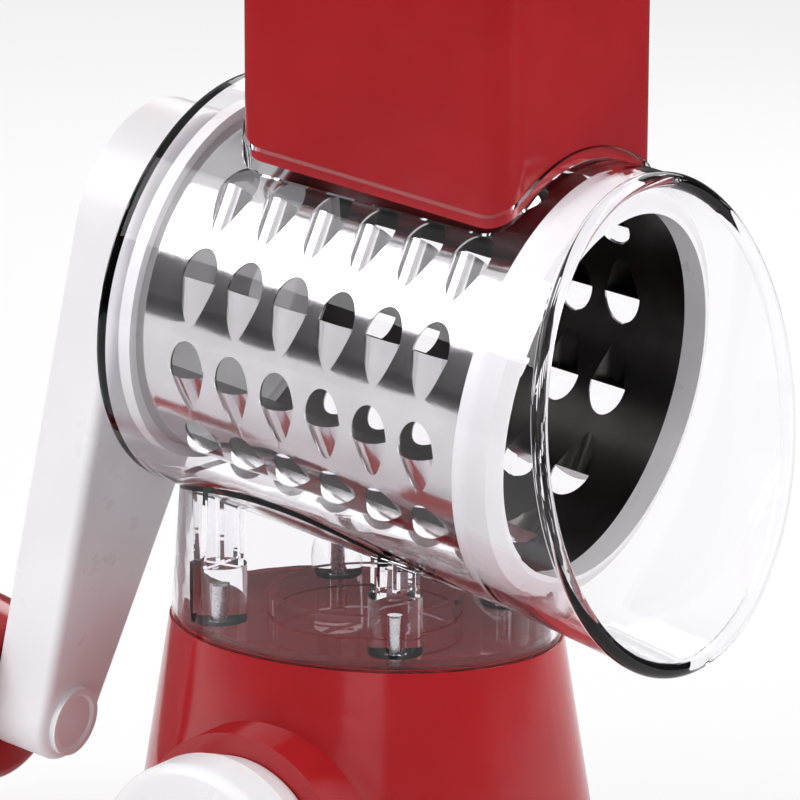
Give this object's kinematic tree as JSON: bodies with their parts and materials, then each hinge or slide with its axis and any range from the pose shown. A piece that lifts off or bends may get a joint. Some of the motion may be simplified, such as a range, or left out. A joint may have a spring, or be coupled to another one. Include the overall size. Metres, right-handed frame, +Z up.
{
  "type": "rotary drum shredder",
  "caption": "Table-top hand-cranked drum shredder: a perforated steel drum turns in a clear barrel under an upright red hopper, on a tapered base with a suction lock.",
  "frame": {"origin": "middle of the suction foot's underside, on the table", "axes": "+Z up; +X towards the outlet of the drum, which falls 8.5 degrees that way; the suction lock's knob is on the -Y side and the crank on the -X side"},
  "size_m": [0.2143, 0.1263, 0.2628],
  "materials": {
    "red_plastic": "glossy moulded red plastic",
    "clear_plastic": "polished clear plastic",
    "white_plastic": "satin-gloss white plastic",
    "polished_steel": "polished stainless steel sheet",
    "turned_steel": "turned steel, fine lathe marks",
    "grey_rubber": "soft matte rubber",
    "white_inner": "matte moulded plastic"
  },
  "bodies": {
    "base": {"suction_cup": "grey_rubber", "base_plate": "white_inner", "base_plate_screws": "turned_steel", "base_shell": "red_plastic", "housing_screws": "turned_steel", "pedestal_floor": "clear_plastic", "drum_housing": "clear_plastic", "hopper": "red_plastic", "shaft_bush": "white_inner"},
    "drum": {"grating_drum": "polished_steel", "drum_front_ring": "white_plastic", "drum_rear_cap": "white_plastic", "drive_shaft": "turned_steel", "crank_arm": "white_plastic", "crank_cover": "white_plastic", "crank_hub_screw": "turned_steel", "grip_axle": "white_plastic", "grip_screw": "turned_steel"},
    "grip": {"crank_grip": "red_plastic", "grip_end_cap": "red_plastic"},
    "pusher": {"pusher_body": "red_plastic", "pusher_cap": "red_plastic"},
    "lock": {"lock_knob": "white_plastic", "lock_knob_screw": "turned_steel", "lock_camshaft": "turned_steel"},
    "stem": {"cup_stem": "turned_steel"}
  },
  "joints": [
    {"name": "drum_spin", "type": "hinge", "parent": "base", "child": "drum", "pos_m": [0.0552, 0, 0.1267], "axis": [0.989, 0, -0.1478], "continuous": true},
    {"name": "grip_spin", "type": "hinge", "parent": "drum", "child": "grip", "pos_m": [-0.10004, -0.027, 0.0473], "axis": [0.989, 0, -0.1478], "continuous": true},
    {"name": "pusher_lift", "type": "slide", "parent": "base", "child": "pusher", "axis": [0, 0, 1], "range_m": [0, 0.06]},
    {"name": "lock_turn", "type": "hinge", "parent": "base", "child": "lock", "pos_m": [0, -0.06, 0.0285], "axis": [0, 1, 0], "range_deg": [0, 90]},
    {"name": "stem_lift", "type": "slide", "parent": "base", "child": "stem", "axis": [0, 0, 1], "range_m": [0, 0.0036], "deforming": ["suction_cup"]}
  ],
  "couplings": [
    {"joint": "stem_lift", "follows": "lock_turn", "m_per_rad": 0.0022508}
  ]
}
